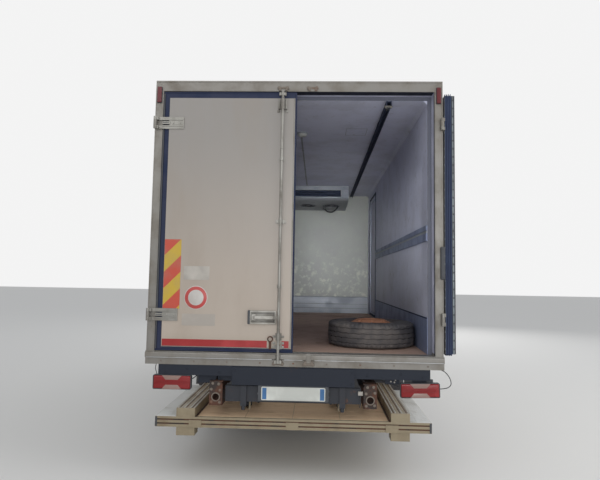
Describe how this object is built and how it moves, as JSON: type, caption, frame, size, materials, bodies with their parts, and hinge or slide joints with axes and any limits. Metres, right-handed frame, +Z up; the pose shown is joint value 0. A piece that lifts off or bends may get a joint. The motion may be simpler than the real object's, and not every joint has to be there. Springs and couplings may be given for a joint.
{
  "type": "refrigerated truck",
  "caption": "Refrigerated truck with a tilting cab, an insulated body with rear and side doors, and a slide-out tail lift.",
  "frame": {"origin": "on the ground, at the middle of the vehicle's length and width", "axes": "+X to the vehicle's right, +Y forward along its length, +Z up"},
  "size_m": [2.8216, 7.309, 3.3989],
  "materials": {
    "beam_navy": "satin",
    "cab_white": "gloss",
    "cast_grey": "rough",
    "chassis_black": "satin",
    "door_white": "satin, dusty",
    "floor_brown": "worn resin",
    "frame_grey": "satin, worn",
    "gear_steel": "galvanised, worn",
    "glass": "clear",
    "interior_grey": "satin, stained",
    "kick_aluminium": "ribbed",
    "lamp_red": "gloss",
    "panel_white": "satin, dusty",
    "plastic_grey": "grained",
    "platform_tan": "worn",
    "ram_steel": "oiled",
    "rust_steel": "rusty",
    "seal_navy": "matt",
    "seat_fabric": "woven",
    "spare_orange": "rusty",
    "tank_aluminium": "brushed",
    "tyre": "matt",
    "wheel_steel": "satin"
  },
  "bodies": {
    "chassis": {"chassis_frame": "chassis_black", "subframe": "chassis_black", "leaf_springs": "chassis_black", "front_axle": "cast_grey", "rear_axle": "cast_grey", "engine": "cast_grey", "driveline": "cast_grey", "fuel_tank": "tank_aluminium", "battery_box": "plastic_grey", "air_tanks": "chassis_black", "silencer": "rust_steel", "wheel_guards": "plastic_grey", "side_guards": "tank_aluminium", "bumper": "plastic_grey", "lamps": "lamp_red", "floor": "floor_brown", "wall_left": "panel_white", "wall_right": "panel_white", "front_wall": "panel_white", "roof": "panel_white", "rear_frame": "frame_grey", "cooling_unit": "cab_white", "evaporator": "interior_grey", "ceiling_rails": "seal_navy", "wall_guards": "kick_aluminium", "spare_tyre": "tyre", "spare_rim": "spare_orange", "lift_tracks": "rust_steel", "rear_beam": "beam_navy"},
    "cab": {"cab_shell": "cab_white", "cab_glass": "glass", "dashboard": "plastic_grey", "seats": "seat_fabric", "mirrors": "plastic_grey"},
    "cab_door_left": {"cab_door_left": "cab_white", "door_glass_left": "glass"},
    "cab_door_right": {"cab_door_right": "cab_white", "door_glass_right": "glass"},
    "knuckle_left": {"knuckle_left": "cast_grey"},
    "knuckle_right": {"knuckle_right": "cast_grey"},
    "wheel_front_left": {"rim_front_left": "wheel_steel", "tyre_front_left": "tyre"},
    "wheel_front_right": {"rim_front_right": "wheel_steel", "tyre_front_right": "tyre"},
    "wheels_rear_left": {"rims_rear_left": "wheel_steel", "tyres_rear_left": "tyre"},
    "wheels_rear_right": {"rims_rear_right": "wheel_steel", "tyres_rear_right": "tyre"},
    "rear_door_left": {"rear_door_left": "door_white", "door_seal_left": "seal_navy", "door_gear_left": "gear_steel"},
    "rear_door_right": {"rear_door_right": "door_white", "door_seal_right": "seal_navy", "door_gear_right": "gear_steel"},
    "side_door": {"side_door": "panel_white"},
    "lift_carriage": {"lift_carriage": "chassis_black"},
    "lift_arms": {"lift_arms": "chassis_black", "lift_rams": "ram_steel"},
    "platform": {"platform": "platform_tan"}
  },
  "joints": [
    {"name": "cab_tilt", "type": "hinge", "parent": "chassis", "child": "cab", "pos_m": [0, 3.535, 0.82], "axis": [-1, 0, 0], "range_deg": [0, 50]},
    {"name": "cab_door_left_hinge", "type": "hinge", "parent": "cab", "child": "cab_door_left", "pos_m": [-1.101, 3.33, 1.2], "axis": [0, 0, -1], "range_deg": [0, 70]},
    {"name": "cab_door_right_hinge", "type": "hinge", "parent": "cab", "child": "cab_door_right", "pos_m": [1.101, 3.33, 1.2], "axis": [0, 0, 1], "range_deg": [0, 70]},
    {"name": "steer_left", "type": "hinge", "parent": "chassis", "child": "knuckle_left", "pos_m": [-0.83, 2.385, 0.415], "axis": [0, 0, 1], "range_deg": [-36, 36]},
    {"name": "steer_right", "type": "hinge", "parent": "chassis", "child": "knuckle_right", "pos_m": [0.83, 2.385, 0.415], "axis": [0, 0, 1], "range_deg": [-36, 36]},
    {"name": "spin_front_left", "type": "hinge", "parent": "knuckle_left", "child": "wheel_front_left", "pos_m": [-0.945, 2.385, 0.415], "axis": [-1, 0, 0], "continuous": true},
    {"name": "spin_front_right", "type": "hinge", "parent": "knuckle_right", "child": "wheel_front_right", "pos_m": [0.945, 2.385, 0.415], "axis": [-1, 0, 0], "continuous": true},
    {"name": "spin_rear_left", "type": "hinge", "parent": "chassis", "child": "wheels_rear_left", "pos_m": [-0.928, -1.56, 0.415], "axis": [-1, 0, 0], "continuous": true},
    {"name": "spin_rear_right", "type": "hinge", "parent": "chassis", "child": "wheels_rear_right", "pos_m": [0.928, -1.56, 0.415], "axis": [-1, 0, 0], "continuous": true},
    {"name": "rear_door_left_hinge", "type": "hinge", "parent": "chassis", "child": "rear_door_left", "pos_m": [-1.24, -3.628, 2.15], "axis": [0, 0, -1], "range_deg": [0, 267]},
    {"name": "rear_door_right_hinge", "type": "hinge", "parent": "chassis", "child": "rear_door_right", "pos_m": [1.24, -3.628, 2.15], "axis": [0, 0, 1], "range_deg": [-267, 0]},
    {"name": "side_door_hinge", "type": "hinge", "parent": "chassis", "child": "side_door", "pos_m": [1.264, 1.47, 2], "axis": [0, 0, 1], "range_deg": [0, 110]},
    {"name": "lift_slide", "type": "slide", "parent": "chassis", "child": "lift_carriage", "axis": [0, -1, 0], "range_m": [0, 0.9]},
    {"name": "lift_lower", "type": "hinge", "parent": "lift_carriage", "child": "lift_arms", "pos_m": [0, -2.55, 0.59], "axis": [1, 0, 0], "range_deg": [0, 30.53]},
    {"name": "platform_level", "type": "hinge", "parent": "lift_arms", "child": "platform", "pos_m": [0, -3.25, 0.55], "axis": [1, 0, 0], "range_deg": [-30.53, 0]}
  ],
  "couplings": [
    {"joint": "steer_right", "follows": "steer_left", "ratio": 1},
    {"joint": "platform_level", "follows": "lift_lower", "ratio": -1}
  ]
}
